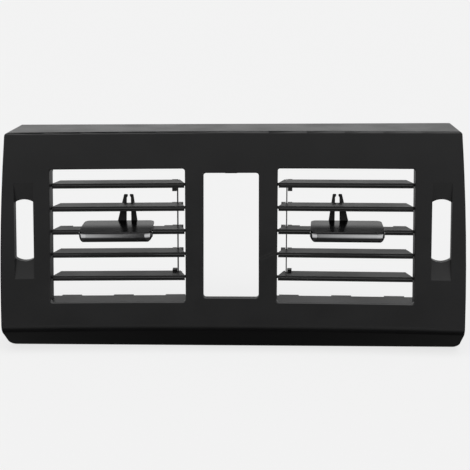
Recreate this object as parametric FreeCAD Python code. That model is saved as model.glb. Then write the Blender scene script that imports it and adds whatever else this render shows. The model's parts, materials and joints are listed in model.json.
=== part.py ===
import FreeCAD, Part
import math
import os
from FreeCAD import Vector

# Dashboard air vent panel: one moulded fascia with two slatted air outlets, a tall middle opening for an
# insert and a thumbwheel slot near each end. Each outlet has five tilting slats, joined by a link strip, and
# a knob that slides along the third slat and carries a fork for the vanes behind.
# Millimetres. +X is to the right, +Y goes back along the slats' depth, +Z is up. The origin is the middle of
# the four screw bosses, on the plane of their ends.
os.makedirs("parts", exist_ok=True)

# Fascia
face_lean_deg = 14.0
crown_radius = 1800.0
face_set = 16.0
end_bar_width = 6.5
end_bow = 2.0
widest_z = -15.0
face_wall = 2.0
top_bar_height = 16.7
flange_depth = 24.2
fold_radius = 1.2
fold_inner_radius = 0.3
low_bar_height = 12.0
bend_radius = 4.5
bend_land = 0.2
return_back = 8.1
return_drop = 11.4
side_wall_depth = 9.0
end_ramp_foot = 12.0
end_ramp_top = 3.5
top_corner_radius = 1.5
low_corner_radius = 3.0
opening_chamfer = 0.4

# Air outlets in the fascia
outlet_half_width = 31.45
outlet_half_height = 29.9
outlet_corner_radius = 1.2
collar_wall = 1.6
collar_depth = 10.0
collar_side_depth = 8.0
low_gusset_depth = 13.2
low_gusset_height = 3.4
top_gusset_depth = 17.0
top_gusset_height = 4.4
top_gusset_rise = 0.8
gusset_lip_height = 1.0
gusset_lip_depth = 2.0
gusset_hollow_radius = 2.0
gusset_corner_radius = 2.0
tooth_length = 1.3
tooth_width = 9.3
tooth_pitch = 24.6
tooth_shift = -1.3

# Middle opening and its latch
middle_half_width = 12.8
middle_bar_width = 8.4
middle_end_step = 1.95
middle_corner_radius = 1.3
latch_half_width = 2.8
latch_hang = 0.5
latch_thickness = 1.4
latch_reach = 5.0
latch_ramp = 1.2

# Thumbwheel slots and their scoops
slot_half_width = 4.45
slot_bar_width = 7.5
slot_top_z = 16.4
slot_low_z = -11.55
slot_end_bulge = 1.4
slot_corner_radius = 0.8
scoop_top_z = 24.0
scoop_low_z = -19.1
scoop_depth = 3.0
scoop_backing = 2.6
scoop_backing_margin = 1.6
scoop_backing_taper = 3.0

# Screw bosses and stiffening ribs
boss_radius = 3.2
boss_bore_radius = 1.25
boss_bore_depth = 7.0
boss_shift = -0.05
boss_half_spacing = 33.5
fin_spread = 2.4
fin_foot = 2.0
fin_height_share = 0.7
rib_thickness = 1.2
rib_reach = 8.0
rib_pitch = 26.0
ribs_each_side = 3

# Bearing strips
strip_thickness = 1.6
strip_play = 0.1
strip_behind_pivot = 2.8
clip_depth = 1.8
clip_height = 2.4
clip_inset = 0.7
clip_play = 0.1

# Slats
slat_count = 5
top_slat_gap = 8.0
low_slat_gap = 10.0
slat_set_back = 2.5
slat_end_gap = 0.55
slat_chord = 8.6
pivot_from_nose = 2.6
nose_thickness = 2.35
tail_thickness = 0.9
nose_bead_height = 0.7
nose_bead_proud = 0.3
end_taper = 3.0
end_shoulder = 0.8
pivot_pin_radius = 0.7
pivot_play = 0.05
pivot_pin_engagement = 1.3
slide_zone_margin = 9.7
slide_zone_cut = 1.8

# Link strip and the crank pins that it joins
link_inset = 4.2
link_thickness = 0.5
link_width = 2.4
link_end = 1.2
crank_length = 6.0
crank_pin_radius = 0.6
crank_play = 0.05
ear_gap = 0.2
ear_width = 2.1
ear_reach = 1.2
ear_half_height = 1.15
ear_chamfer = 0.5
hanging_block_drop = 4.2
standing_block_rise = 2.1
pin_nub_length = 1.4
notch_depth = 2.2
ear_root = 1.6
pin_root = 0.3

# Knob
knob_shift = 0.8
knob_front_width = 33.6
knob_back_width = 32.6
knob_front_reach = 5.5
knob_depth = 18.5
knob_top_front = 1.4
knob_top_middle = 2.15
knob_top_back = 2.2
knob_low_front = -3.1
knob_low_back = -2.2
knob_front_corner = 1.6
knob_back_corner = 2.0
knob_fall_length = 8.8
knob_fall_radius = 40.0
knob_edge = 0.35
knob_play = 0.2
tongue_margin = 0.15

# Bright trim on the knob
trim_top = 0.75
trim_low = -1.4
trim_proud = 0.25
trim_inlay = 0.7
trim_wrap = 5.0
trim_edge = 0.2

# Fork behind the knob
fork_plate_thickness = 1.5
fork_plate_margin = 2.5
fork_plate_inset = 0.3
prong_above_slat = 1.45
prong_gap_centre = -3.4
prong_gap = 2.5
prong_tip_gap = 1.15
inner_prong_width = 2.45
outer_prong_width = 3.8
prong_tip_width = 1.6
prong_hook_height = 1.6
prong_hook_rise = 0.7
prong_draft = 0.15
prong_root = 1.0
prong_foot_drop = 1.0
prong_tip_radius = 0.5

# Friction pad between knob and slat
pad_half_length = 5.0
pad_depth = 2.6
pad_thickness = 0.8
pad_play = 0.05

# How far cutters and blanks run past what they cut
overrun = 8.0

# Places that follow from the sizes above
lean = math.radians(face_lean_deg)
back_wall = face_wall / math.cos(lean)
outlet_offset = middle_half_width + middle_bar_width + outlet_half_width
slot_offset = outlet_offset + outlet_half_width + slot_bar_width + slot_half_width
widest_half_width = slot_offset + slot_half_width + end_bar_width
top_half_width = widest_half_width - end_bow
boss_offset = slot_offset + boss_shift
top_z = outlet_half_height + top_bar_height
bend_z = -outlet_half_height - low_bar_height
middle_half_height = outlet_half_height - middle_end_step
slat_pitch = (2 * outlet_half_height - top_slat_gap - low_slat_gap) / (slat_count - 1)
middle_slat_z = (low_slat_gap - top_slat_gap) / 2
slide_zone_half_width = outlet_half_width - slide_zone_margin
link_offset = link_inset - outlet_half_width
prong_height = slat_pitch + prong_above_slat
lip_z = bend_z - return_drop
crown_axis_y = -face_set - crown_radius
flange_back_y = -face_set + top_z * math.tan(lean) + flange_depth
slat_half_length = outlet_half_width - slat_end_gap
tail_y = slat_chord - pivot_from_nose
tail_round_y = tail_y - tail_thickness / 2
nose_step_y = nose_bead_proud - pivot_from_nose
slat_top = nose_thickness / 2
middle_slat = (slat_count + 1) // 2
knob_front_y = -pivot_from_nose - knob_front_reach
knob_back_y = knob_front_y + knob_depth
tongue_front_y = tail_y - slide_zone_cut + knob_play
tongue_top = slat_top + knob_play + tongue_margin
tongue_low = slat_top - tail_thickness - knob_play - tongue_margin
pad_low = -slat_top - knob_play - pad_thickness
block_half_width = widest_half_width + overrun
block_back_y = flange_back_y + overrun
far = block_half_width


def face_y(z):
    """Place of the leaning face in depth, at the middle of the panel."""
    return -face_set + z * math.tan(lean)


def pivot_place(number):
    """Depth and height of one slat's pivot, counted from the top slat."""
    steps_down = number - middle_slat
    z = middle_slat_z - steps_down * slat_pitch
    return face_y(z) + slat_set_back + pivot_from_nose, z


def rounded_face(corners, radii):
    """Flat face with straight sides, each corner rounded to its own radius."""
    edges = []
    last_end = None
    first_start = None
    for index, here in enumerate(corners):
        before = corners[index - 1]
        after = corners[(index + 1) % len(corners)]
        radius = radii[index]
        start = here
        end = here
        if radius > 0:
            to_before = (before - here).normalize()
            to_after = (after - here).normalize()
            half_angle = to_before.getAngle(to_after) / 2
            reach = radius / math.tan(half_angle)
            inward = (to_before + to_after).normalize()
            start = here + to_before * reach
            end = here + to_after * reach
            middle = here + inward * (radius / math.sin(half_angle) - radius)
        if last_end is None:
            first_start = start
        else:
            edges.append(Part.LineSegment(last_end, start).toShape())
        if radius > 0:
            edges.append(Part.Arc(start, middle, end).toShape())
        last_end = end
    edges.append(Part.LineSegment(last_end, first_start).toShape())
    return Part.Face(Part.Wire(edges))


def side_profile(points, radii=None):
    """Face in the plane of depth and height, from (depth, height) pairs."""
    corners = [Vector(0, y, z) for y, z in points]
    return rounded_face(corners, radii or [0] * len(corners))


def across(profile, start_x, end_x):
    """Solid swept across the panel from a side profile."""
    moved = profile.translated(Vector(start_x, 0, 0))
    return moved.extrude(Vector(end_x - start_x, 0, 0))


def box(low, high):
    return Part.makeBox(high[0] - low[0], high[1] - low[1], high[2] - low[2], Vector(*low))


def rod(radius, start_x, end_x, y, z):
    """Round bar along X."""
    return Part.makeCylinder(radius, end_x - start_x, Vector(start_x, y, z), Vector(1, 0, 0))


def mirrored(shape):
    return shape.mirror(Vector(0, 0, 0), Vector(1, 0, 0))


def at_angle(shape, offset):
    """Swing a piece about the crown's centre until its middle is at an offset from the panel's middle."""
    placed = shape.copy()
    turn = math.degrees(math.asin(offset / crown_radius))
    placed.rotate(Vector(0, crown_axis_y, 0), Vector(0, 0, 1), -turn)
    return placed


def to_outlet(shape):
    """Swing a piece from the panel's middle to its place in the right outlet."""
    return at_angle(shape, outlet_offset)


def crown_sag(x, radius=crown_radius):
    """How far the plan curve comes forward at a distance from the middle."""
    return radius - math.sqrt(radius**2 - x**2)


def crowned(profile, keep):
    """Solid with the plan curve of the panel, from a side profile, cut to a box."""
    half_turn = math.degrees(math.asin((block_half_width + overrun) / crown_radius))
    start = profile.copy()
    start.rotate(Vector(0, crown_axis_y, 0), Vector(0, 0, 1), -half_turn)
    turned = start.revolve(Vector(0, crown_axis_y, 0), Vector(0, 0, 1), 2 * half_turn)
    return turned.common(keep)


def outline_prism(inset):
    """Front outline of the panel with its gently bowed ends, run back along Y."""
    rise = top_z - widest_z
    bow = widest_half_width - top_half_width
    bow_radius = (rise * rise + bow * bow) / (2 * bow)

    def half_width(z):
        return widest_half_width - bow_radius + math.sqrt(bow_radius**2 - (z - widest_z) ** 2) - inset

    low = lip_z - inset
    high = top_z - inset
    right = [Vector(half_width(z), -far, z) for z in (low, widest_z, high)]
    left = [Vector(-p.x, p.y, p.z) for p in right]
    edges = [
        Part.Arc(right[0], right[1], right[2]).toShape(),
        Part.LineSegment(right[2], left[2]).toShape(),
        Part.Arc(left[2], left[1], left[0]).toShape(),
        Part.LineSegment(left[0], right[0]).toShape(),
    ]
    depth = flange_back_y + far + (1 if inset else 0)
    prism = Part.Face(Part.Wire(edges)).extrude(Vector(0, depth, 0))
    if inset:
        return prism
    long_edges = [e for e in prism.Edges if e.BoundBox.YLength > depth / 2]
    tops = [e for e in long_edges if e.BoundBox.ZMin > 0]
    lows = [e for e in long_edges if e.BoundBox.ZMin < 0]
    return prism.makeFillet(top_corner_radius, tops).makeFillet(low_corner_radius, lows)


def plan_section(z, front_y, bowed):
    """Horizontal section of the panel's lower part: bowed or straight in front, square behind."""
    half = block_half_width
    side_y = front_y
    front = Part.LineSegment(Vector(-half, side_y, z), Vector(half, side_y, z)).toShape()
    if bowed:
        side_y = front_y - crown_sag(half, front_y - crown_axis_y)
        front = Part.Arc(Vector(-half, side_y, z), Vector(0, front_y, z), Vector(half, side_y, z)).toShape()
    right = Part.LineSegment(Vector(half, side_y, z), Vector(half, block_back_y, z)).toShape()
    behind = Part.LineSegment(Vector(half, block_back_y, z), Vector(-half, block_back_y, z)).toShape()
    left = Part.LineSegment(Vector(-half, block_back_y, z), Vector(-half, side_y, z)).toShape()
    return Part.Wire([front, right, behind, left])


def leaning_block(wall, high, turn_z, low, low_front_y, bend_round, fold_round):
    """Solid behind the face: a bowed leaning front, and below it a return that ends in a straight line."""
    beyond = block_back_y + 2 * overrun
    turn_y = face_y(turn_z) + wall
    fall = turn_z - low
    slope_angle = math.atan((low_front_y - turn_y) / fall)
    # The bend's arc ends a little above the joint line between the bowed part and the ruled return.
    arc_drop = bend_round * math.tan((lean + slope_angle) / 2) * math.cos(slope_angle) + bend_land
    joint_z = turn_z - arc_drop
    joint_y = turn_y + arc_drop * math.tan(slope_angle)
    fold = (face_y(high) + wall, high)
    bend = (turn_y, turn_z)
    joint = (joint_y, joint_z)
    corners = [(beyond, high), fold, bend, joint, (beyond, joint_z)]
    upper = side_profile(corners, [0, fold_round, bend_round, 0, 0])
    keep = box((-block_half_width, -far, joint_z - overrun), (block_half_width, block_back_y, high + overrun))
    bowed = plan_section(joint_z, joint_y, True)
    straight = plan_section(low, low_front_y, False)
    lower = Part.makeLoft([bowed, straight], True, True)
    return crowned(upper, keep).fuse(lower).removeSplitter()


def fascia_shell():
    """Face, top flange, lower return and end walls as one thin moulding, open behind."""
    slope = return_back / return_drop
    bend_y = face_y(bend_z)
    run = math.hypot(return_back, return_drop)
    # The inside of the return runs parallel to it, one wall further in, and meets the inside of the face.
    inset_at_bend = bend_y + face_wall * run / return_drop
    drop = (inset_at_bend - bend_y - back_wall) / (math.tan(lean) + slope)
    inner_bend_z = bend_z + drop
    below = lip_z - overrun
    inner_low_y = inset_at_bend + (bend_z - below) * slope
    outer = leaning_block(0, top_z, bend_z, lip_z, bend_y + return_back, bend_radius, fold_radius)
    inner_radius = bend_radius - face_wall
    inner = leaning_block(
        back_wall, top_z - face_wall, inner_bend_z, below, inner_low_y, inner_radius, fold_inner_radius
    )
    skin = outer.common(outline_prism(0))
    hollow = inner.common(outline_prism(face_wall))
    shell = skin.cut(hollow)
    # The end walls are shallower than the flange, and ramp out to it near the top.
    ramp_z = top_z - end_ramp_foot
    shallow = side_profile(
        [
            (face_y(below) + side_wall_depth + return_back, below),
            (face_y(bend_z) + side_wall_depth, bend_z),
            (face_y(ramp_z) + side_wall_depth, ramp_z),
            (block_back_y, top_z - end_ramp_top),
            (block_back_y, below),
        ]
    )
    return shell.cut(across(shallow, -far * 2, far * 2))


def outlet_cutter():
    w = outlet_half_width
    h = outlet_half_height
    corners = [Vector(x, -far, z) for x, z in ((-w, -h), (w, -h), (w, h), (-w, h))]
    return rounded_face(corners, [outlet_corner_radius] * 4).extrude(Vector(0, 2 * far, 0))


def collar():
    """Short duct behind an outlet: floor, ceiling and end walls with deep corners, and three teeth a side."""
    pieces = []
    w = outlet_half_width + strip_thickness + strip_play
    outside = w + collar_wall
    h = outlet_half_height
    inside_face = back_wall / 2
    for way in (-1, 1):
        near = way * h
        beyond = way * (h + collar_wall)
        back = face_y(near) + collar_depth
        profile = side_profile(
            [
                (face_y(near) + inside_face, near),
                (back, near),
                (back, beyond),
                (face_y(beyond) + inside_face, beyond),
            ]
        )
        pieces.append(across(profile, -outside, outside))
        for place in (-1, 0, 1):
            middle = tooth_shift + place * tooth_pitch
            low = (middle - tooth_width / 2, back - 1, min(near, beyond))
            high = (middle + tooth_width / 2, back + tooth_length, max(near, beyond))
            pieces.append(box(low, high))
    top = h + collar_wall
    top_step_z = h - top_gusset_height
    top_end_z = top_step_z + top_gusset_rise
    low_step_z = low_gusset_height - h
    low_lip_z = low_step_z + gusset_lip_height
    end_wall = side_profile(
        [
            (face_y(-top) + inside_face, -top),
            (face_y(top) + inside_face, top),
            (face_y(h) + top_gusset_depth, top),
            (face_y(h) + top_gusset_depth, top_end_z),
            (face_y(top_step_z) + collar_side_depth, top_step_z),
            (face_y(low_lip_z) + collar_side_depth, low_lip_z),
            (face_y(low_step_z) + collar_side_depth + gusset_lip_depth, low_step_z),
            (face_y(-h) + low_gusset_depth, low_step_z),
            (face_y(-h) + low_gusset_depth, -top),
        ],
        [0, 0, 0, gusset_corner_radius, gusset_hollow_radius, 0, 0, gusset_corner_radius, 0],
    )
    for start in (-outside, w):
        wall = across(end_wall, start, start + collar_wall)
        for z in clip_heights():
            wall = wall.cut(clip(start - 1, start + collar_wall + 1, z, clip_play))
        pieces.append(wall)
    return pieces


def clip_heights():
    """The strips' clips sit half way between slats."""
    return [middle_slat_z + 1.5 * slat_pitch, middle_slat_z - 1.5 * slat_pitch]


def clip(start_x, end_x, z, grow):
    """Bar of a strip's clip, or with some play the window that it snaps into."""
    middle_y = face_y(z) + back_wall + strip_play + clip_depth / 2 + clip_inset
    half_depth = clip_depth / 2 + grow
    half_height = clip_height / 2 + grow
    low = (start_x, middle_y - half_depth, z - half_height)
    return box(low, (end_x, middle_y + half_depth, z + half_height))


def slot_cutter():
    """Thumbwheel slot with bowed ends."""
    w = slot_half_width
    shoulder_top = slot_top_z - slot_end_bulge
    shoulder_low = slot_low_z + slot_end_bulge
    corners = {
        "top_left": Vector(-w, -far, shoulder_top),
        "top_right": Vector(w, -far, shoulder_top),
        "low_right": Vector(w, -far, shoulder_low),
        "low_left": Vector(-w, -far, shoulder_low),
    }
    edges = [
        Part.Arc(corners["top_left"], Vector(0, -far, slot_top_z), corners["top_right"]).toShape(),
        Part.LineSegment(corners["top_right"], corners["low_right"]).toShape(),
        Part.Arc(corners["low_right"], Vector(0, -far, slot_low_z), corners["low_left"]).toShape(),
        Part.LineSegment(corners["low_left"], corners["top_left"]).toShape(),
    ]
    prism = Part.Face(Part.Wire(edges)).extrude(Vector(0, 2 * far, 0))
    long_edges = [e for e in prism.Edges if e.BoundBox.YLength > far]
    return prism.makeFillet(slot_corner_radius, long_edges)


def scoop_cutter():
    """Bar whose round side dishes the face above and below the slot."""
    span = (scoop_top_z - scoop_low_z) / 2 / math.cos(lean)
    middle_z = (scoop_top_z + scoop_low_z) / 2
    radius = (span * span + scoop_depth * scoop_depth) / (2 * scoop_depth)
    step_out = radius - scoop_depth
    y = face_y(middle_z) - step_out * math.cos(lean)
    z = middle_z + step_out * math.sin(lean)
    bar = rod(radius, -slot_half_width, slot_half_width, y, z)
    return bar.cut(box((-far, -far * 4, -far * 4), (far, -far, far * 4)))


def scoop_backing_pad():
    """Extra wall behind the scoop, so that the dish doesn't break through."""
    margin = scoop_backing_margin
    low = scoop_low_z - margin
    high = scoop_top_z + margin
    taper = scoop_backing_taper
    pad = side_profile(
        [
            (face_y(low) + back_wall / 2, low),
            (face_y(low) + back_wall, low),
            (face_y(low + taper) + back_wall + scoop_backing, low + taper),
            (face_y(high - taper) + back_wall + scoop_backing, high - taper),
            (face_y(high) + back_wall, high),
            (face_y(high) + back_wall / 2, high),
        ]
    )
    half = slot_half_width + margin
    return across(pad, -half, half)


def boss(x, z):
    """Screw boss from the face to the seat plane, with four thin fins."""
    start = face_y(z) + back_wall / 2 - crown_sag(x)
    post = Part.makeCylinder(boss_radius, -start, Vector(x, start, z), Vector(0, 1, 0))
    root = start - boss_radius
    fin_end = start * (1 - fin_height_share)
    wide = boss_radius + fin_spread
    fin_low = start + fin_foot
    outline = [(0, root), (wide, root), (wide, fin_low), (boss_radius, fin_end), (0, fin_end), (0, root)]
    corners = [Vector(x + out, y, z - rib_thickness / 2) for out, y in outline]
    pieces = [post]
    for turn in (0, 90, 180, 270):
        fin = Part.Face(Part.makePolygon(corners)).extrude(Vector(0, 0, rib_thickness))
        fin.rotate(Vector(x, 0, z), Vector(0, 1, 0), turn)
        pieces.append(fin)
    return pieces


def trimmed_boss(x, z):
    """Boss and fins, kept behind the middle of the face's wall."""
    keep = side_profile(
        [
            (face_y(lip_z) + back_wall / 2, lip_z),
            (face_y(top_z) + back_wall / 2, top_z),
            (far, top_z),
            (far, lip_z),
        ]
    )
    reach = boss_radius * 6
    room = at_angle(across(keep, -reach, reach), x)
    return [piece.common(room) for piece in boss(x, z)]


def bore(x, z):
    start = Vector(x, -boss_bore_depth, z)
    return Part.makeCylinder(boss_bore_radius, boss_bore_depth + 1, start, Vector(0, 1, 0))


def fold_rib(x):
    """Triangular rib in the corner of face and flange."""
    high = top_z - face_wall / 2
    low = high - rib_reach
    profile = side_profile(
        [
            (face_y(high) + back_wall / 2, high),
            (face_y(high) + back_wall + rib_reach, high),
            (face_y(low) + back_wall / 2, low),
        ]
    )
    return at_angle(across(profile, -rib_thickness / 2, rib_thickness / 2), x)


def latch():
    """Small snap tab that hangs into the top of the middle opening."""
    low = middle_half_height - latch_hang
    high = middle_half_height + latch_thickness
    start = face_y(middle_half_height) + back_wall / 2
    end = start + latch_reach
    tab = side_profile(
        [
            (start, high),
            (start, low + latch_hang),
            (start + latch_ramp, low),
            (end - latch_ramp, low),
            (end, low + latch_ramp),
            (end, high),
        ]
    )
    return across(tab, -latch_half_width, latch_half_width)


def openings():
    """Cutters for the two outlets, the middle opening and the two thumbwheel slots."""
    w = middle_half_width
    h = middle_half_height
    corners = [Vector(x, -far, z) for x, z in ((-w, -h), (w, -h), (w, h), (-w, h))]
    middle = rounded_face(corners, [middle_corner_radius] * 4).extrude(Vector(0, 2 * far, 0))
    outlet = to_outlet(outlet_cutter())
    slot = at_angle(slot_cutter(), slot_offset)
    return [middle, outlet, mirrored(outlet)], [slot, mirrored(slot)]


def softened(shell):
    """Shell with the front edges of its large openings softened."""
    chosen = []
    for edge in shell.Edges:
        around = edge.BoundBox
        middle = edge.valueAt((edge.FirstParameter + edge.LastParameter) / 2)
        at_face = abs(middle.y - face_y(middle.z) + crown_sag(middle.x)) < 0.05
        within = max(around.ZMax, -around.ZMin) < outlet_half_height + collar_wall
        if at_face and within and abs(middle.x) < outlet_offset + outlet_half_width + collar_wall:
            chosen.append(edge)
    return shell.makeChamfer(opening_chamfer, chosen)


def fascia():
    large, slots = openings()
    shell = softened(fascia_shell().cut(large))
    right_pieces = [to_outlet(piece) for piece in collar()]
    right_pieces.append(at_angle(scoop_backing_pad(), slot_offset))
    for z in (-boss_half_spacing, boss_half_spacing):
        right_pieces.extend(trimmed_boss(boss_offset, z))
    for number in range(ribs_each_side):
        right_pieces.append(fold_rib(rib_pitch * (number + 0.5)))
    pieces = right_pieces + [mirrored(piece) for piece in right_pieces]
    pieces.append(latch())
    body = shell.fuse(pieces).removeSplitter()
    scoop = at_angle(scoop_cutter(), slot_offset)
    tools = slots + [scoop, mirrored(scoop)]
    for side in (-1, 1):
        for z in (-boss_half_spacing, boss_half_spacing):
            tools.append(bore(side * boss_offset, z))
    for tool in tools:
        body = body.cut(tool)
    return body.removeSplitter()


def bearing_strip():
    """Strip with five pivot holes and two clips, for the outer end of an outlet."""
    h = outlet_half_height - strip_play
    front = back_wall + strip_play
    back = slat_set_back + pivot_from_nose + strip_behind_pivot
    profile = side_profile(
        [
            (face_y(-h) + front, -h),
            (face_y(h) + front, h),
            (face_y(h) + back, h),
            (face_y(-h) + back, -h),
        ]
    )
    inside = outlet_half_width
    outside = outlet_half_width + strip_thickness
    strip = across(profile, inside, outside)
    clip_end = outside + strip_play + collar_wall
    strip = strip.fuse([clip(outside - strip_play, clip_end, z, 0) for z in clip_heights()])
    holes = []
    for number in range(1, slat_count + 1):
        y, z = pivot_place(number)
        holes.append(rod(pivot_pin_radius + pivot_play, inside - 1, outside + 1, y, z))
    return strip.cut(holes).removeSplitter()


def underside(y):
    """Height of a slat's sloping underside at a distance behind its pivot."""
    share = (y - nose_step_y) / (tail_round_y - nose_step_y)
    return -slat_top + share * (nose_thickness - tail_thickness)


def slat_section():
    """Section of a slat about its pivot: blunt nose with a fine bead, level top, thinner rounded tail."""
    nose = -pivot_from_nose
    half_bead = nose_bead_height / 2
    tail_z = slat_top - tail_thickness / 2
    points = [
        Vector(0, nose_step_y, half_bead),
        Vector(0, nose_step_y, slat_top),
        Vector(0, tail_round_y, slat_top),
        Vector(0, tail_round_y, underside(tail_round_y)),
        Vector(0, nose_step_y, -slat_top),
        Vector(0, nose_step_y, -half_bead),
    ]
    edges = [
        Part.LineSegment(points[0], points[1]).toShape(),
        Part.LineSegment(points[1], points[2]).toShape(),
        Part.Arc(points[2], Vector(0, tail_y, tail_z), points[3]).toShape(),
        Part.LineSegment(points[3], points[4]).toShape(),
        Part.LineSegment(points[4], points[5]).toShape(),
        Part.Arc(points[5], Vector(0, nose, 0), points[0]).toShape(),
    ]
    return Part.Face(Part.Wire(edges))


def ear(start_x, end_x):
    """Lug that carries the crank pin, with its rear corners cut off."""
    h = ear_half_height
    root = crank_length - ear_root
    tip = crank_length + ear_reach
    shoulder = tip - ear_chamfer
    end_height = h - ear_chamfer
    outline = [(root, -h), (shoulder, -h), (tip, -end_height), (tip, end_height), (shoulder, h), (root, h)]
    return across(side_profile(outline), start_x, end_x)


def slat(number):
    """One slat about its own pivot, which runs through the origin."""
    half = slat_half_length
    nose = -pivot_from_nose
    blade = across(slat_section(), -half, half)
    outline = [
        (-half, nose - 1),
        (half, nose - 1),
        (half, nose + end_shoulder),
        (half - end_taper, tail_y + 1),
        (-half + end_taper, tail_y + 1),
        (-half, nose + end_shoulder),
        (-half, nose - 1),
    ]
    plan = Part.Face(Part.makePolygon([Vector(x, y, -nose_thickness) for x, y in outline]))
    blade = blade.common(plan.extrude(Vector(0, 0, 2 * nose_thickness)))
    pin_start = half - end_taper
    pin_end = outlet_half_width + pivot_pin_engagement
    pieces = [rod(pivot_pin_radius, pin_start, pin_end, 0, 0)]
    pieces.append(rod(pivot_pin_radius, -pin_end, -pin_start, 0, 0))
    half_gap = link_thickness / 2 + ear_gap
    outer_ear = (link_offset + half_gap, link_offset + half_gap + ear_width)
    inner_ear = (link_offset - half_gap - ear_width, link_offset - half_gap)
    pieces.append(ear(outer_ear[0], outer_ear[1]))
    block_front = crank_length - ear_root
    block_back = crank_length + ear_reach
    # The end slats carry a block beside the link, and their pins end in a nub.
    if number == 1:
        pieces.append(box((outer_ear[0], block_front, -hanging_block_drop), (outer_ear[1], block_back, 0)))
    if number == slat_count:
        pieces.append(box((outer_ear[0], block_front, 0), (outer_ear[1], block_back, standing_block_rise)))
    pin_from = link_offset - half_gap - pin_root
    if number in (1, slat_count):
        pin_from = link_offset - half_gap - pin_nub_length
    else:
        pieces.append(ear(inner_ear[0], inner_ear[1]))
    notch_low = (link_offset - half_gap, crank_length - notch_depth, -far)
    notch = box(notch_low, (link_offset + half_gap, tail_y + overrun, far))
    blade = blade.fuse(pieces).cut(notch)
    blade = blade.fuse(rod(crank_pin_radius, pin_from, outer_ear[0] + pin_root, crank_length, 0))
    if number == middle_slat:
        zone_low = (knob_shift - slide_zone_half_width, tail_y - slide_zone_cut, -far)
        blade = blade.cut(box(zone_low, (knob_shift + slide_zone_half_width, tail_y + overrun, far)))
    return blade.removeSplitter()


def link():
    """Flat strip that joins the five crank pins, seen edge on from the front."""
    y_top, z_top = pivot_place(1)
    y_low, z_low = pivot_place(slat_count)
    length = math.hypot(y_top - y_low, z_top - z_low)
    tilt = math.degrees(math.atan2(y_top - y_low, z_top - z_low))
    start = link_offset - link_thickness / 2
    end = link_offset + link_thickness / 2
    bar = box((start, -link_width / 2, -length - link_end), (end, link_width / 2, link_end))
    bar.rotate(Vector(0, 0, 0), Vector(1, 0, 0), -tilt)
    bar.translate(Vector(0, y_top + crank_length, z_top))
    holes = []
    for number in range(1, slat_count + 1):
        y, z = pivot_place(number)
        holes.append(rod(crank_pin_radius + crank_play, start - 1, end + 1, y + crank_length, z))
    return bar.cut(holes)


def knob_plan(grow, low_z, high_z):
    """Prism of the knob's plan outline, grown or shrunk all round."""
    front = knob_front_width / 2 + grow
    back = knob_back_width / 2 + grow
    front_y = knob_front_y - grow
    back_y = knob_back_y + grow
    outline = [(-front, front_y), (front, front_y), (back, back_y), (-back, back_y)]
    corners = [Vector(x, y, low_z) for x, y in outline]
    front_corner = max(knob_front_corner + grow, trim_edge)
    back_corner = max(knob_back_corner + grow, trim_edge)
    radii = [front_corner, front_corner, back_corner, back_corner]
    return rounded_face(corners, radii).extrude(Vector(0, 0, high_z - low_z))


def tunnel_profile():
    """Room for the slat inside the knob, open to the back where the fork's tongue goes in."""
    front = -pivot_from_nose - knob_play
    half_front = slat_top + knob_play
    slat_end = tail_y - slide_zone_cut
    return side_profile(
        [
            (front, -half_front),
            (front, half_front),
            (slat_end, tongue_top),
            (knob_back_y + overrun, tongue_top),
            (knob_back_y + overrun, tongue_low),
            (tongue_front_y, tongue_low),
            (slat_end, underside(slat_end) - knob_play),
        ]
    )


def knob_body():
    """Grip about the middle slat's pivot line, with its top falling gently to the front."""
    half = knob_front_width / 2
    side = side_profile(
        [
            (knob_front_y, knob_low_front),
            (knob_front_y, knob_top_front),
            (knob_front_y + knob_fall_length, knob_top_middle),
            (knob_back_y, knob_top_back),
            (knob_back_y, knob_low_back),
        ],
        [knob_edge, knob_edge, knob_fall_radius, knob_edge, knob_edge],
    )
    grip = across(side, -half, half).common(knob_plan(0, knob_low_front - 1, knob_top_back + 1))
    groove = knob_plan(2, trim_low, trim_top).cut(knob_plan(-trim_inlay, trim_low - 1, trim_top + 1))
    groove = groove.common(box((-far, -far, -far), (far, knob_front_y + trim_wrap, far)))
    pocket = box((-pad_half_length, -pad_depth / 2, pad_low), (pad_half_length, pad_depth / 2, 0))
    grip = grip.cut([groove, across(tunnel_profile(), -knob_front_width, knob_front_width), pocket])
    return grip.removeSplitter()


def knob_trim():
    """Bright strip let into the knob's front and wrapped round its corners."""
    band = knob_plan(trim_proud, trim_low, trim_top).cut(knob_plan(-trim_inlay, trim_low - 1, trim_top + 1))
    band = band.common(box((-far, -far, -far), (far, knob_front_y + trim_wrap, far)))
    outside = []
    for edge in band.Edges:
        middle = edge.valueAt((edge.FirstParameter + edge.LastParameter) / 2)
        flat = edge.BoundBox.ZLength < 0.01
        beyond = abs(middle.x) > knob_front_width / 2 - trim_edge or middle.y < knob_front_y + trim_proud / 2
        if flat and beyond and middle.y < knob_front_y + trim_wrap - trim_edge:
            outside.append(edge)
    return band.makeChamfer(trim_edge, outside)


def knob_pad():
    """Soft pad in a pocket of the knob, rubbing on the slat's sloping underside."""
    half = pad_depth / 2
    front_top = underside(-half) - pad_play
    back_top = underside(half) - pad_play
    section = side_profile([(-half, pad_low), (-half, front_top), (half, back_top), (half, pad_low)])
    return across(section, -pad_half_length, pad_half_length)


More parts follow.
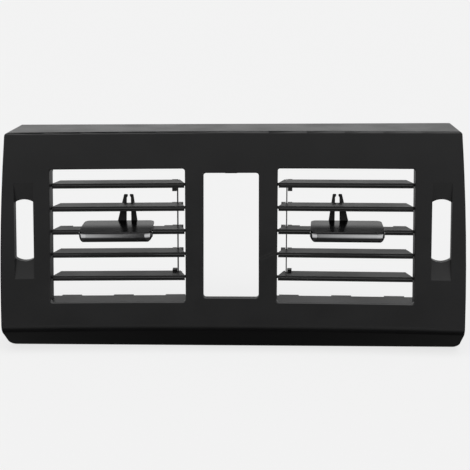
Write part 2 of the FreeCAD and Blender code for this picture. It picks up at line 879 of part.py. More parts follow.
def prong(side, foot_width):
    """One hooked prong in the plane of width and height, on one side of the gap between the two."""
    foot = side * prong_gap / 2
    tip = side * prong_tip_gap / 2
    hook_low = prong_height - prong_hook_height
    outline = [
        (foot + side * foot_width, -prong_root),
        (foot, -prong_root),
        (foot - side * prong_draft, hook_low),
        (tip, hook_low + prong_hook_rise),
        (tip, prong_height),
        (tip + side * prong_tip_width, prong_height),
    ]
    corners = [Vector(prong_gap_centre - knob_shift + x, 0, s) for x, s in outline]
    blade = rounded_face(corners, [0, 0, 0, 0, prong_tip_radius, prong_tip_radius])
    blade = blade.extrude(Vector(0, fork_plate_thickness, 0))
    blade.rotate(Vector(0, 0, 0), Vector(1, 0, 0), -face_lean_deg)
    blade.translate(Vector(0, knob_back_y, knob_top_back - prong_foot_drop))
    return blade.common(box((-far, knob_back_y, -far), (far, far, far)))


def knob_fork():
    """Rear clip of the knob: a tongue behind the slat, a back plate and two hooked prongs."""
    half_plate = knob_back_width / 2 - fork_plate_margin
    plate_back = knob_back_y + fork_plate_thickness
    tongue = box((-half_plate, tongue_front_y, tongue_low), (half_plate, knob_back_y, tongue_top))
    plate_low = knob_low_back + fork_plate_inset
    plate_high = knob_top_back - fork_plate_inset
    plate = box((-half_plate, knob_back_y, plate_low), (half_plate, plate_back, plate_high))
    return tongue.fuse([plate, prong(-1, inner_prong_width), prong(1, outer_prong_width)]).removeSplitter()


def export(name, shape):
    if len(shape.Solids) != 1 or not shape.isValid():
        print("check", name, "solids", len(shape.Solids), "valid", shape.isValid())
    shape.exportStep("parts/" + name + ".step")


def both_sides(name, shape):
    """Write the right outlet's piece and its mirror image in the left one."""
    placed = to_outlet(shape)
    export("right_" + name, placed)
    export("left_" + name, mirrored(placed))


export("fascia", fascia())
strip = bearing_strip()
both_sides("outer_strip", strip)
both_sides("inner_strip", mirrored(strip))
for slat_number in range(1, slat_count + 1):
    pivot_y, pivot_z = pivot_place(slat_number)
    both_sides("slat_" + str(slat_number), slat(slat_number).translated(Vector(0, pivot_y, pivot_z)))
both_sides("link", link())
knob_y, knob_z = pivot_place(middle_slat)
knob_place = Vector(knob_shift, knob_y, knob_z)
both_sides("knob", knob_body().translated(knob_place))
both_sides("knob_trim", knob_trim().translated(knob_place))
both_sides("knob_fork", knob_fork().translated(knob_place))
both_sides("knob_pad", knob_pad().translated(knob_place))
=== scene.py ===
# %% [markdown]
# # Dashboard air vent
# The object is one black moulded panel with two slatted air outlets, a tall empty opening between them and a
# narrow thumbwheel slot near each end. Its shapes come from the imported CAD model. This lesson gives them their
# finishes, makes the knobs rounder, and adds a camera at the photograph's angle, a pale floor and studio light.
# Lengths are in metres, in the CAD model's own frame: +X right, +Y back, +Z up. Only the knobs' cells work in
# millimetres, and they say so.

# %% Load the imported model
import json
import math

import bpy
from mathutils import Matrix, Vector


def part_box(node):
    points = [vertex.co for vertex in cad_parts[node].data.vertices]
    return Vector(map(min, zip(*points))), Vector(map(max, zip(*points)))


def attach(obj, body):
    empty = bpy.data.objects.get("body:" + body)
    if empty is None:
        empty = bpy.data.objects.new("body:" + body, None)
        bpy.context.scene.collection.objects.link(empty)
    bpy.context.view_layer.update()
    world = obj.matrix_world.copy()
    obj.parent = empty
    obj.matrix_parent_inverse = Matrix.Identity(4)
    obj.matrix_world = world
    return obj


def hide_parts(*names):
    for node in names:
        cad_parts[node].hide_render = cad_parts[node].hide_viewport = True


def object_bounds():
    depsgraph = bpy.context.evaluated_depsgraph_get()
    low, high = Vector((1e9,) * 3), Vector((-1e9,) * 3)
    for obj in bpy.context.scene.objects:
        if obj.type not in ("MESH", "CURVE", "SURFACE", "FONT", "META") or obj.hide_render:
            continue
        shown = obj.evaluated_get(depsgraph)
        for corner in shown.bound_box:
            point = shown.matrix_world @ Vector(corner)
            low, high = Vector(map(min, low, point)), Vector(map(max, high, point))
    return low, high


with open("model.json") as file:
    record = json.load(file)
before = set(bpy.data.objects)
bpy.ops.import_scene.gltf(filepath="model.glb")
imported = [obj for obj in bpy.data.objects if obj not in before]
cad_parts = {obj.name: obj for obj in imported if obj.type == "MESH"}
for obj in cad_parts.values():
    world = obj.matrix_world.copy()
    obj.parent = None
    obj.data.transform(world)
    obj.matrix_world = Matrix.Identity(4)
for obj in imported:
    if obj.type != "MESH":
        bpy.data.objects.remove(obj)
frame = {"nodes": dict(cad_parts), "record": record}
cad_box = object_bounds()
nodes = frame["nodes"]

# %% [markdown]
# ## Where the camera stands
# The photograph looks down on the panel by about 15 degrees, from a little to the right. A camera could be turned
# by eye until the edges fit. Here its angles come from a fit of the panel's edges, whose places in the picture
# were measured to a fraction of a pixel, so the outline falls on the photograph's within half a pixel.

# %% Where the camera stands
picture_side = 470
focal_pixels = 930.917
camera_distance = 0.43
camera_turn = math.radians(2.694)
camera_height = math.radians(14.999)
camera_roll = math.radians(-0.606)
aim = Vector((0.0, -0.016, 0.0))
aim_pixel = (230.965, 235.541)

forward = Vector((-math.sin(camera_turn) * math.cos(camera_height),
                  math.cos(camera_turn) * math.cos(camera_height),
                  -math.sin(camera_height)))
level_right = Vector((math.cos(camera_turn), math.sin(camera_turn), 0.0))
level_up = level_right.cross(forward)
right = level_right * math.cos(camera_roll) + level_up * math.sin(camera_roll)
up = level_up * math.cos(camera_roll) - level_right * math.sin(camera_roll)
per_pixel = camera_distance / focal_pixels
middle_pixel = picture_side / 2
place = aim - camera_distance * forward
place -= (aim_pixel[0] - middle_pixel) * per_pixel * right
place += (aim_pixel[1] - middle_pixel) * per_pixel * up
print("camera at", [round(v, 4) for v in place])

# %% [markdown]
# ## The camera itself
# A camera in Blender looks along its own -Z with +Y up. It could be aimed by a tracking constraint. The three
# directions are known already, so they become the columns of its turn. The lens follows from the focal length
# in pixels and the width of the sensor.

# %% The camera itself
sensor_width = 36.0

camera_data = bpy.data.cameras.new("camera")
camera_data.sensor_width = sensor_width
camera_data.lens = focal_pixels / picture_side * sensor_width
camera = bpy.data.objects.new("camera", camera_data)
bpy.context.scene.collection.objects.link(camera)
turn = camera.matrix_world.to_3x3()
turn.col[0] = right
turn.col[1] = up
turn.col[2] = -forward
camera.matrix_world = turn.to_4x4()
camera.location = place
bpy.context.scene.camera = camera
print("lens", round(camera_data.lens, 2), "mm")

# %% [markdown]
# ## Node helpers
# Moulded plastic isn't one flat colour: it has a fine grain, a slow change in gloss and rubbed edges. Pictures
# could hold that, but patterns worked out by nodes stay sharp at any distance and need no files. Five small
# helpers keep the node trees short: one adds a node, one does a step of arithmetic, one brings a value from one
# range to another, one blends two values, and one starts a finish.

# %% Node helpers
def new_node(tree, kind, settings=None, inputs=None):
    """Add a node, set its options, and fill its sockets with values or links."""
    node = tree.nodes.new(kind)
    for name, value in (settings or {}).items():
        setattr(node, name, value)
    for name, value in (inputs or {}).items():
        if isinstance(value, bpy.types.NodeSocket):
            tree.links.new(value, node.inputs[name])
        else:
            node.inputs[name].default_value = value
    return node


def sum_of(tree, operation, first, second=0.0, third=None):
    """One step of arithmetic between sockets or numbers."""
    inputs = {0: first, 1: second}
    if third is not None:
        inputs[2] = third
    return new_node(tree, "ShaderNodeMath", {"operation": operation}, inputs).outputs[0]


def ramped(tree, value, low, high, to_low, to_high):
    """Bring a value from one range to another with soft ends."""
    inputs = {"Value": value, "From Min": low, "From Max": high, "To Min": to_low, "To Max": to_high}
    return new_node(tree, "ShaderNodeMapRange", {"interpolation_type": "SMOOTHSTEP"}, inputs).outputs[0]


def blended(tree, kind, factor, first, second):
    """Blend of two values or colours. The kind is FLOAT or RGBA."""
    inputs = {"Factor": factor, "A": first, "B": second}
    return new_node(tree, "ShaderNodeMix", {"data_type": kind}, inputs).outputs["Result"]


def start_finish(name):
    """New material with its node tree, its shader and the coordinates of the piece it is on."""
    material = bpy.data.materials.new(name)
    material.use_nodes = True
    tree = material.node_tree
    shader = tree.nodes["Principled BSDF"]
    place_on_piece = new_node(tree, "ShaderNodeTexCoord").outputs["Object"]
    return material, tree, shader, place_on_piece


print("node helpers ready")

# %% [markdown]
# ## Moulded grain
# An injection mould of steel is often etched, and the plastic takes a fine grain from it, here about a third of a
# millimetre wide. One noise alone looks like sand. Small cells for the etched grain with a soft noise over them,
# which breaks up their regularity, look closer to the real surface.

# %% Moulded grain
drift_share = 0.8


def grain_height(tree, place_on_piece, size):
    """Height of a moulded grain whose cells are about one size wide."""
    cells = new_node(tree, "ShaderNodeTexVoronoi", {"feature": "SMOOTH_F1"},
                     {"Vector": place_on_piece, "Scale": 1.0 / size, "Smoothness": 0.6})
    drift = new_node(tree, "ShaderNodeTexNoise", None,
                     {"Vector": place_on_piece, "Scale": 0.6 / size, "Detail": 3.0, "Roughness": 0.6})
    return sum_of(tree, "MULTIPLY_ADD", drift.outputs["Fac"], drift_share, cells.outputs["Distance"])


print("grain ready")

# %% [markdown]
# ## Grained plastic
# The fascia is black plastic whose gloss drifts slowly over its length, as on any large moulding. A broad noise
# drives both the gloss and the colour, and the grain goes to a bump. A real mould also rounds every edge a
# little. That could be cut into the mesh, but a bevel node bends the shading near the edges in the same way,
# gives the thin light lines round the openings, and leaves the mesh alone.

# %% Grained plastic
cloud_scale = 45.0
cloud_low, cloud_high = 0.3, 0.7
grain_strength = 0.5
bevel_samples = 4


def plastic_finish(name, dark, light, roughness, roughness_change, grain_size, grain_depth, edge_radius):
    """Moulded plastic: drifting colour and gloss, grain, and edges that shade as if they were rounded."""
    material, tree, shader, place_on_piece = start_finish(name)
    clouds = new_node(tree, "ShaderNodeTexNoise", None,
                      {"Vector": place_on_piece, "Scale": cloud_scale, "Detail": 4.0, "Roughness": 0.55})
    cloud = clouds.outputs["Fac"]
    tree.links.new(blended(tree, "RGBA", cloud, (*dark, 1.0), (*light, 1.0)), shader.inputs["Base Color"])
    drifting = ramped(tree, cloud, cloud_low, cloud_high,
                      roughness - roughness_change, roughness + roughness_change)
    tree.links.new(drifting, shader.inputs["Roughness"])
    bump = new_node(tree, "ShaderNodeBump", None,
                    {"Strength": grain_strength, "Distance": grain_depth,
                     "Height": grain_height(tree, place_on_piece, grain_size)})
    tree.links.new(bump.outputs["Normal"], shader.inputs["Normal"])
    rounded = new_node(tree, "ShaderNodeBevel", {"samples": bevel_samples}, {"Radius": edge_radius})
    tree.links.new(rounded.outputs["Normal"], bump.inputs["Normal"])
    return material


fascia_plastic = plastic_finish(
    "fascia_plastic", dark=(0.0055, 0.0055, 0.0058), light=(0.0075, 0.0075, 0.0078),
    roughness=0.34, roughness_change=0.03, grain_size=0.00035, grain_depth=0.00002, edge_radius=0.00025)
print("made", fascia_plastic.name)

# %% [markdown]
# ## Distance from a line
# The bar to the right of the middle opening has one dark rubbed line, about 7 mm long. It could be a groove in
# the mesh, but it has no depth to speak of, so it is drawn by the shader. For that the shader needs each point's
# distance from a short straight line: the point is dropped onto the line, held between its two ends, and the
# gap to that place is measured.

# %% Distance from a line
def vector_step(tree, operation, inputs):
    """One step of vector arithmetic, as its node."""
    return new_node(tree, "ShaderNodeVectorMath", {"operation": operation}, inputs)


def distance_from_line(tree, place_on_piece, start, end):
    """Distance from a line in the plane of width and height, as a socket."""
    along = (end - start).normalized()
    length = (end - start).length
    from_start = vector_step(tree, "SUBTRACT", {0: place_on_piece, 1: tuple(start)}).outputs["Vector"]
    flat = vector_step(tree, "MULTIPLY", {0: from_start, 1: (1.0, 0.0, 1.0)}).outputs["Vector"]
    reach = vector_step(tree, "DOT_PRODUCT", {0: flat, 1: tuple(along)}).outputs["Value"]
    kept = new_node(tree, "ShaderNodeClamp", None, {"Value": reach, "Min": 0.0, "Max": length}).outputs[0]
    nearest = vector_step(tree, "SCALE", {0: tuple(along), "Scale": kept}).outputs["Vector"]
    return vector_step(tree, "DISTANCE", {0: flat, 1: nearest}).outputs["Value"]


print("line helper ready")

# %% [markdown]
# ## Scratch on the fascia
# Rubbed plastic is darker here and less glossy. The scratch is strongest along the line and fades out beside it,
# so it goes between the plain plastic's colour and roughness and the shader.

# %% Scratch on the fascia
scratch_start = Vector((0.01412, 0.0, -0.01024))
scratch_end = Vector((0.02056, 0.0, -0.00730))
scratch_half_width = 0.0007
scratch_core = 0.2 * scratch_half_width
scratch_rim = 1.6 * scratch_half_width
scratch_colour = (0.0015, 0.0015, 0.0015, 1.0)
scratch_extra_roughness = 0.4

fascia_tree = fascia_plastic.node_tree
fascia_shader = fascia_tree.nodes["Principled BSDF"]
fascia_place = new_node(fascia_tree, "ShaderNodeTexCoord").outputs["Object"]
distance = distance_from_line(fascia_tree, fascia_place, scratch_start, scratch_end)
rubbed = ramped(fascia_tree, distance, scratch_core, scratch_rim, 1.0, 0.0)
plain_colour = fascia_shader.inputs["Base Color"].links[0].from_socket
scratched = blended(fascia_tree, "RGBA", rubbed, plain_colour, scratch_colour)
fascia_tree.links.new(scratched, fascia_shader.inputs["Base Color"])
plain_roughness = fascia_shader.inputs["Roughness"].links[0].from_socket
duller = sum_of(fascia_tree, "MULTIPLY_ADD", rubbed, scratch_extra_roughness, plain_roughness)
fascia_tree.links.new(duller, fascia_shader.inputs["Roughness"])
print("scratch", round((scratch_end - scratch_start).length * 1000, 1), "mm long")

# %% [markdown]
# ## Slats, bearing strips, links and forks
# These small parts come from a polished mould, so their grain is finer and half as deep. The same helper makes
# them with other numbers. The small grain keeps the pattern in scale with the thin slats.

# %% Slats, bearing strips, links and forks
slat_plastic = plastic_finish(
    "slat_plastic", dark=(0.0060, 0.0060, 0.0063), light=(0.0085, 0.0085, 0.0088),
    roughness=0.37, roughness_change=0.03, grain_size=0.00025, grain_depth=0.00001, edge_radius=0.0002)
print("made", slat_plastic.name)

# %% [markdown]
# ## Knobs
# A thumb rests on the knob, so its plastic is smoother than the rest and polished by use. Its top falls to the
# front, where it mirrors a darker part of the room, and a low roughness shows that change. The specular level
# sets how much it mirrors at all, a little less than plain plastic would.

# %% Knobs
knob_specular = 0.36

knob_plastic = plastic_finish(
    "knob_plastic", dark=(0.0045, 0.0045, 0.0048), light=(0.0065, 0.0065, 0.0068),
    roughness=0.17, roughness_change=0.02, grain_size=0.00025, grain_depth=0.000003, edge_radius=0.0003)
knob_shader = knob_plastic.node_tree.nodes["Principled BSDF"]
knob_shader.inputs["Specular IOR Level"].default_value = knob_specular
print("made", knob_plastic.name)

# %% [markdown]
# ## Bright strips
# The strip on each knob is plastic with a satin chrome plate. Plating takes the shape of the plastic below, so
# it isn't a perfect mirror: fine marks run along the strip and the gloss varies. A noise stretched along
# the strip makes both.

# %% Bright strips
marks_along, marks_across = 120.0, 2500.0
chrome_dark = (0.62, 0.62, 0.63, 1.0)
chrome_light = (0.74, 0.74, 0.75, 1.0)
chrome_smoothest, chrome_roughest = 0.08, 0.13
mark_strength = 0.15
mark_depth = 0.00001

trim_chrome, trim_tree, trim_shader, trim_place = start_finish("trim_chrome")
stretched = new_node(trim_tree, "ShaderNodeMapping", None,
                     {"Vector": trim_place, "Scale": (marks_along, marks_across, marks_across)})
streaks = new_node(trim_tree, "ShaderNodeTexNoise", None,
                   {"Vector": stretched.outputs["Vector"], "Scale": 1.0, "Detail": 3.0,
                    "Roughness": 0.6}).outputs["Fac"]
trim_colour = blended(trim_tree, "RGBA", streaks, chrome_dark, chrome_light)
trim_tree.links.new(trim_colour, trim_shader.inputs["Base Color"])
trim_roughness = ramped(trim_tree, streaks, cloud_low, cloud_high, chrome_smoothest, chrome_roughest)
trim_tree.links.new(trim_roughness, trim_shader.inputs["Roughness"])
trim_bump = new_node(trim_tree, "ShaderNodeBump", None,
                     {"Strength": mark_strength, "Distance": mark_depth, "Height": streaks})
trim_tree.links.new(trim_bump.outputs["Normal"], trim_shader.inputs["Normal"])
trim_shader.inputs["Metallic"].default_value = 1.0
print("made", trim_chrome.name)

# %% [markdown]
# ## Rubber pads
# A small rubber pad inside each knob rubs on the slat, so that the knob stays where it is put. Nobody sees it
# when the vent is whole, but it is part of the model, so it gets a dull, slightly mottled rubber.

# %% Rubber pads
pad_rubber = plastic_finish(
    "pad_rubber", dark=(0.040, 0.040, 0.040), light=(0.060, 0.060, 0.060),
    roughness=0.80, roughness_change=0.05, grain_size=0.0002, grain_depth=0.00002, edge_radius=0.0001)
print("made", pad_rubber.name)

# %% [markdown]
# ## Put the finishes on
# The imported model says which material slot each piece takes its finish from. Each CAD node's own slot gets the
# finish of that name, and the meshes stay as they are.

# %% Put the finishes on
finishes = {"fascia_plastic": fascia_plastic, "slat_plastic": slat_plastic, "knob_plastic": knob_plastic,
            "trim_chrome": trim_chrome, "pad_rubber": pad_rubber}
for part in frame["record"]["subparts"]:
    piece = nodes[part["node"]]
    for slot in piece.material_slots:
        slot.material = finishes[part["material_slot"]]

# %% [markdown]
# ## Softer knobs, bright strips and forks
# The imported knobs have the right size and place, but their corners are sharper than the moulding in the
# photograph, and their forks end a little low. So each knob, its bright strip and its fork are made again here.
# They could be pushed into shape by hand in edit mode. Outlines given as numbers are easier to change, and one
# set of meshes serves both outlets, mirrored. Lengths in these cells are in millimetres about the pivot of the
# third slat, and each mesh is brought to metres and to its place at the end.
# The first helper rounds the corners of an outline. It leaves a short flat beside each arc, which keeps the
# shading of the flat faces even.

# %% Rounded outline
from mathutils import Matrix

arc_steps = 8
flat_before_arc = 0.3


def rounded_outline(corners, radii):
    """Closed outline, each corner an arc of its own radius with a short flat before and after it."""
    points = []
    for index, radius in enumerate(radii):
        here = Vector(corners[index])
        before = (Vector(corners[index - 1]) - here).normalized()
        after = (Vector(corners[(index + 1) % len(corners)]) - here).normalized()
        if radius == 0:
            points.append(here)
            continue
        half_angle = before.angle(after) / 2
        reach = radius / math.tan(half_angle)
        centre = here + (before + after).normalized() * radius / math.sin(half_angle)
        spoke = here + before * reach - centre
        way = 1 if before.x * after.y - before.y * after.x < 0 else -1
        sweep = way * (math.pi - 2 * half_angle)
        points.append(here + before * (reach + flat_before_arc))
        for step in range(arc_steps + 1):
            points.append(centre + Matrix.Rotation(sweep * step / arc_steps, 2) @ spoke)
        points.append(here + after * (reach + flat_before_arc))
    return points


print("outline helper ready")

# %% [markdown]
# ## Solids from outlines
# A prism is the solid between two copies of an outline. Three small functions say from which side an outline is
# seen: from above, from the side or from the front. Boolean modifiers then keep what prisms share, join them or
# cut one from another, and the result is taken as a plain mesh.

# %% Solids from outlines
import bmesh


def as_object(name, mesh):
    """Object from a finished bmesh."""
    bmesh.ops.recalc_face_normals(mesh, faces=mesh.faces)
    data = bpy.data.meshes.new(name)
    mesh.to_mesh(data)
    mesh.free()
    piece = bpy.data.objects.new(name, data)
    bpy.context.scene.collection.objects.link(piece)
    return piece


def prism(points, low, high, to_place):
    """Solid between two copies of an outline. to_place gives the place of a point at a distance."""
    mesh = bmesh.new()
    first = [mesh.verts.new(to_place(point, low)) for point in points]
    last = [mesh.verts.new(to_place(point, high)) for point in points]
    mesh.faces.new(first)
    mesh.faces.new(last)
    for index in range(len(points)):
        mesh.faces.new((first[index - 1], first[index], last[index], last[index - 1]))
    return as_object("prism", mesh)


def seen_from_above(point, z):
    return point[0], point[1], z


def seen_from_the_side(point, x):
    return x, point[0], point[1]


def seen_from_the_front(point, y):
    return point[0], y, point[1]


def shaped(base, steps):
    """Mesh of a base solid after its boolean steps. The solids are used up."""
    for operation, tool in steps:
        step = base.modifiers.new(operation, "BOOLEAN")
        step.operation = operation
        step.object = tool
    solid = base.evaluated_get(bpy.context.evaluated_depsgraph_get())
    result = bpy.data.meshes.new_from_object(solid)
    for used in [base] + [tool for operation, tool in steps]:
        bpy.data.objects.remove(used)
    return result


print("solid helpers ready")

# %% [markdown]
# ## Knob seen from above
# From above the knob is a block, a little wider in front, with round corners. The outline is a function of how
# much it is grown, because the bright strip and its groove follow the same edge at other distances.

# %% Knob seen from above
front_half_width = 17.05
back_half_width = 16.5
front_y = -8.1
back_y = 10.4
front_corner = 3.2
back_corner = 2.6


def knob_outline(grow):
    """Knob seen from above, grown all round, from the back left corner round the front."""
    corners = [(-back_half_width - grow, back_y + grow), (-front_half_width - grow, front_y - grow),
               (front_half_width + grow, front_y - grow), (back_half_width + grow, back_y + grow)]
    radii = [back_corner + grow, front_corner + grow, front_corner + grow, back_corner + grow]
    return rounded_outline(corners, radii)


print("knob", 2 * front_half_width, "mm wide and", back_y - front_y, "mm deep")

# %% [markdown]
# ## Knob from the side and from the front
# From the side the top rises from the front to a soft crest and goes on gently to the back, and the underside
# rises to the back. A slit from the back takes the slat, and its upper end is wider for the fork's tongue. From
# the front only the corners matter: large arcs below, small ones above.
# The outlines run a little past each other, so that no two faces of the prisms lie in one plane, which boolean
# modifiers handle badly.

# %% Knob from the side and from the front
cut_y = back_y + 1.0
front_bottom, back_bottom = -3.45, -2.15
front_top, back_top = 1.4, 2.45
crest = (0.7, 2.15)
crest_radius = 120.0
slit_front, slit_half_height = -2.8, 1.375
slit_back, slit_back_bottom = 4.2, -0.174
tongue_front, tongue_bottom, tongue_top = 4.4, -0.075, 1.525
nose_radius_below, nose_radius_above = 0.8, 0.35
side_view = rounded_outline(
    [(front_y, front_bottom), (cut_y, back_bottom), (cut_y, tongue_bottom), (tongue_front, tongue_bottom),
     (slit_back, slit_back_bottom), (slit_front, -slit_half_height), (slit_front, slit_half_height),
     (slit_back, tongue_top), (cut_y, tongue_top), (cut_y, back_top), crest, (front_y, front_top)],
    [nose_radius_below] + 9 * [0] + [crest_radius, nose_radius_above])

view_bottom, view_top = -3.5, 2.5
radius_below, radius_above = 3.0, 0.6
front_view = rounded_outline([(-front_half_width, view_bottom), (front_half_width, view_bottom),
                              (front_half_width, view_top), (-front_half_width, view_top)],
                             [radius_below, radius_below, radius_above, radius_above])
print("knob", round(back_top - front_bottom, 2), "mm high at most")

# %% [markdown]
# ## Bright strip and its groove
# The bright strip follows the knob's front edge and wraps round its corners, so it is a small convex section
# swept along that edge. A plain tube along a curve couldn't keep its back in a groove. The same sweep with a
# plain section cuts the groove, a little higher than the strip, which leaves the thin dark line above it.

# %% Bright strip and its groove
strip_wrap = 5.0
groove_depth = 0.7
groove_bottom, groove_top, groove_outside = -1.75, 0.9, 1.0
groove_section = [(-groove_depth, groove_bottom), (groove_outside, groove_bottom),
                  (groove_outside, groove_top), (-groove_depth, groove_top)]
strip_section = [(-groove_depth, -1.7), (0.02, -1.7), (0.10, -1.5), (0.15, -1.1), (0.18, -0.6), (0.20, 0.0),
                 (0.20, 0.5), (0.14, 0.68), (0.05, 0.72), (-groove_depth, 0.72)]


def front_path(grow):
    """The part of the knob's outline that the strip follows."""
    per_corner = arc_steps + 3
    points = knob_outline(grow)[per_corner:3 * per_corner]
    end_y = front_y + strip_wrap
    return [Vector((points[0].x, end_y))] + points + [Vector((points[-1].x, end_y))]


def swept_along_front(section):
    """Solid with one section of (offset, height) pairs all along the knob's front."""
    mesh = bmesh.new()
    rows = [[mesh.verts.new((point.x, point.y, height)) for point in front_path(offset)]
            for offset, height in section]
    for index, here in enumerate(rows):
        before = rows[index - 1]
        for step in range(len(here) - 1):
            mesh.faces.new((before[step], before[step + 1], here[step + 1], here[step]))
    mesh.faces.new([row[0] for row in rows])
    mesh.faces.new([row[-1] for row in rows])
    return as_object("swept", mesh)


print("strip section points:", len(strip_section))

# %% [markdown]
# ## Carve the knob
# The three outlines become long prisms, and the knob is what all three share, which is how a carver works from
# drawings. It could be a box with bevelled edges, but then the crest, the slit and the corners couldn't be set
# one by one. The groove is cut last.

# %% Carve the knob
beyond = 30.0
overlap = 0.01
knob_mesh = shaped(prism(side_view, -beyond, beyond, seen_from_the_side), [
    ("INTERSECT", prism(knob_outline(overlap), -beyond, beyond, seen_from_above)),
    ("INTERSECT", prism(front_view, -beyond, beyond, seen_from_the_front)),
    ("DIFFERENCE", swept_along_front(groove_section))])
strip_mesh = shaped(swept_along_front(strip_section), [])
print("knob faces:", len(knob_mesh.polygons), "strip faces:", len(strip_mesh.polygons))

# %% [markdown]
# ## A leaning prong
# The fork's two prongs rise behind the second slat and lean back with the face, by 14 degrees. Each is straight
# inside, tapered outside and hooked at the tip. It is drawn flat, as on paper, and the drawing is laid on a
# leaning plane, which is simpler than turning a finished mesh.

# %% A leaning prong
prong_height = 13.8
prong_thickness = 1.5
prong_root = -0.8
prong_foot = (back_y, 1.2)
lean = math.radians(14.0)
gap_middle = -4.2
gap_half_foot, gap_half_top, gap_half_hook = 1.2, 1.05, 0.55
hook_start, hook_full = 1.6, 0.9
tip_outside = 2.15
hook_corner, tip_corner = 0.3, 0.4


def on_leaning_plane(point, depth):
    """Place of a prong's point: across, and up the leaning plane from the prong's foot."""
    y = prong_foot[0] + depth * math.cos(lean) + point[1] * math.sin(lean)
    z = prong_foot[1] - depth * math.sin(lean) + point[1] * math.cos(lean)
    return point[0], y, z


def prong(side, foot_width):
    """One prong: straight inside, tapered outside, with a hook at its tip towards the other prong."""
    view = [(gap_half_foot + foot_width, prong_root), (gap_half_foot, prong_root),
            (gap_half_top, prong_height - hook_start), (gap_half_hook, prong_height - hook_full),
            (gap_half_hook, prong_height), (tip_outside, prong_height)]
    corners = [(gap_middle + side * x, height) for x, height in view]
    outline = rounded_outline(corners, 4 * [0] + [hook_corner, tip_corner])
    return prism(outline, 0.0, prong_thickness, on_leaning_plane)


print("prongs lean by", round(math.degrees(lean), 1), "degrees")

# %% [markdown]
# ## Fork
# The fork clips on behind the knob: a tongue goes into the slit, a back plate closes it, and the prongs stand on
# the plate. All of it is one moulding, so the solids are joined and no inner faces stay.

# %% Fork
half_plate = 13.8
plate_back_y = 11.9
plate_half_height = 1.9
plate_corner = 0.35
tongue_back = back_y + 0.5
left_foot, right_foot = 3.1, 4.5

tongue_view = [(tongue_front, tongue_bottom), (tongue_back, tongue_bottom),
               (tongue_back, tongue_top), (tongue_front, tongue_top)]
plate_view = rounded_outline([(back_y, -plate_half_height), (plate_back_y, -plate_half_height),
                              (plate_back_y, plate_half_height), (back_y, plate_half_height)],
                             [0, plate_corner, plate_corner, 0])
fork_mesh = shaped(prism(plate_view, -half_plate, half_plate, seen_from_the_side), [
    ("UNION", prism(tongue_view, -half_plate, half_plate, seen_from_the_side)),
    ("UNION", prong(-1, left_foot)),
    ("UNION", prong(1, right_foot))])
print("fork faces:", len(fork_mesh.polygons))

# %% [markdown]
# ## A mesh at its outlet
# The panel is slightly hollow seen from above, with a radius of 1.8 m, and each outlet sits square to that
# curve. So a mesh goes to its slat's pivot and swings about the curve's centre. The left outlet gets the mirror
# image, whose faces are turned right side out again. Broad curves shade smoothly and real edges stay sharp.

# %% A mesh at its outlet
outlet_middle = 52.65
hollow_radius = 1800.0
curve_centre_y = -1816.0
slat_pivot = (0.8, -10.651, 1.0)
outlet_turn = math.asin(outlet_middle / hollow_radius)
curve_centre = Matrix.Translation((0.0, curve_centre_y, 0.0))
swing = curve_centre @ Matrix.Rotation(-outlet_turn, 4, "Z") @ curve_centre.inverted()
knob_place = Matrix.Translation(slat_pivot)
to_metres = Matrix.Scale(0.001, 4)
smooth_below = math.radians(30.0)


def at_outlet(shape, way, slot_name):
    """Copy of a mesh in metres at the right outlet, or with way -1 at the left, with its finish."""
    mirror = Matrix.Diagonal((way, 1, 1, 1))
    mesh = shape.copy()
    mesh.transform(to_metres @ mirror @ swing @ knob_place)
    if way < 0:
        mesh.flip_normals()
    mesh.shade_smooth()
    mesh.set_sharp_from_angle(angle=smooth_below)
    mesh.materials.clear()
    mesh.materials.append(finishes[slot_name])
    return mesh


print("outlets turned by", round(math.degrees(outlet_turn), 3), "degrees")

# %% [markdown]
# ## Set them in both outlets
# Each new piece rides on its knob's body and takes the finish named in the table, and its CAD node is hidden. A
# weighted normal modifier keeps the large faces flat beside the arcs. The print says how far each piece reaches
# beyond its node's box, so that a slip in the placing would show.

# %% Set them in both outlets
def beyond_box(mesh, node_name):
    """How far a mesh reaches past the two corners of its node's box, in millimetres."""
    low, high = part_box(node_name)
    lowest = [round((min(v.co[k] for v in mesh.vertices) - low[k]) * 1000, 2) for k in range(3)]
    highest = [round((max(v.co[k] for v in mesh.vertices) - high[k]) * 1000, 2) for k in range(3)]
    return lowest, highest


soft_parts = (("knob", knob_mesh, "knob_plastic"), ("knob_trim", strip_mesh, "trim_chrome"),
              ("knob_fork", fork_mesh, "slat_plastic"))
for side, way in (("right", 1), ("left", -1)):
    for part_name, shape, slot_name in soft_parts:
        node_name = side + "_" + part_name
        piece = bpy.data.objects.new(node_name + "_soft", at_outlet(shape, way, slot_name))
        bpy.context.scene.collection.objects.link(piece)
        piece.modifiers.new("even_shading", "WEIGHTED_NORMAL").keep_sharp = True
        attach(piece, side + "_knob")
        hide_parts(node_name)
        print(node_name, "beyond the node's box in mm:", *beyond_box(piece.data, node_name))

# %% [markdown]
# ## Floor
# The panel stands on a plain pale floor that runs back out of sight, so it is the backdrop too. A fully lit
# floor would get darker with distance. Here most of its brightness is a fixed pale tone and a fifth comes from
# the light, so the panel keeps a soft shadow without a dark patch. The floor stays out of reflections, because
# the room painted below already holds one.

# %% Floor
floor_half_side = 40.0
floor_gap = 0.0002
floor_z = cad_box[0][2] - floor_gap
paint_colour = (0.86, 0.86, 0.86, 1.0)
fixed_tone = (0.93, 0.93, 0.93, 1.0)
lit_share = 0.2

floor_mesh = bpy.data.meshes.new("floor")
floor_corners = [(x * floor_half_side, y * floor_half_side, floor_z)
                 for x, y in ((-1, -1), (1, -1), (1, 1), (-1, 1))]
floor_mesh.from_pydata(floor_corners, [], [(0, 1, 2, 3)])
floor = bpy.data.objects.new("floor", floor_mesh)
bpy.context.scene.collection.objects.link(floor)

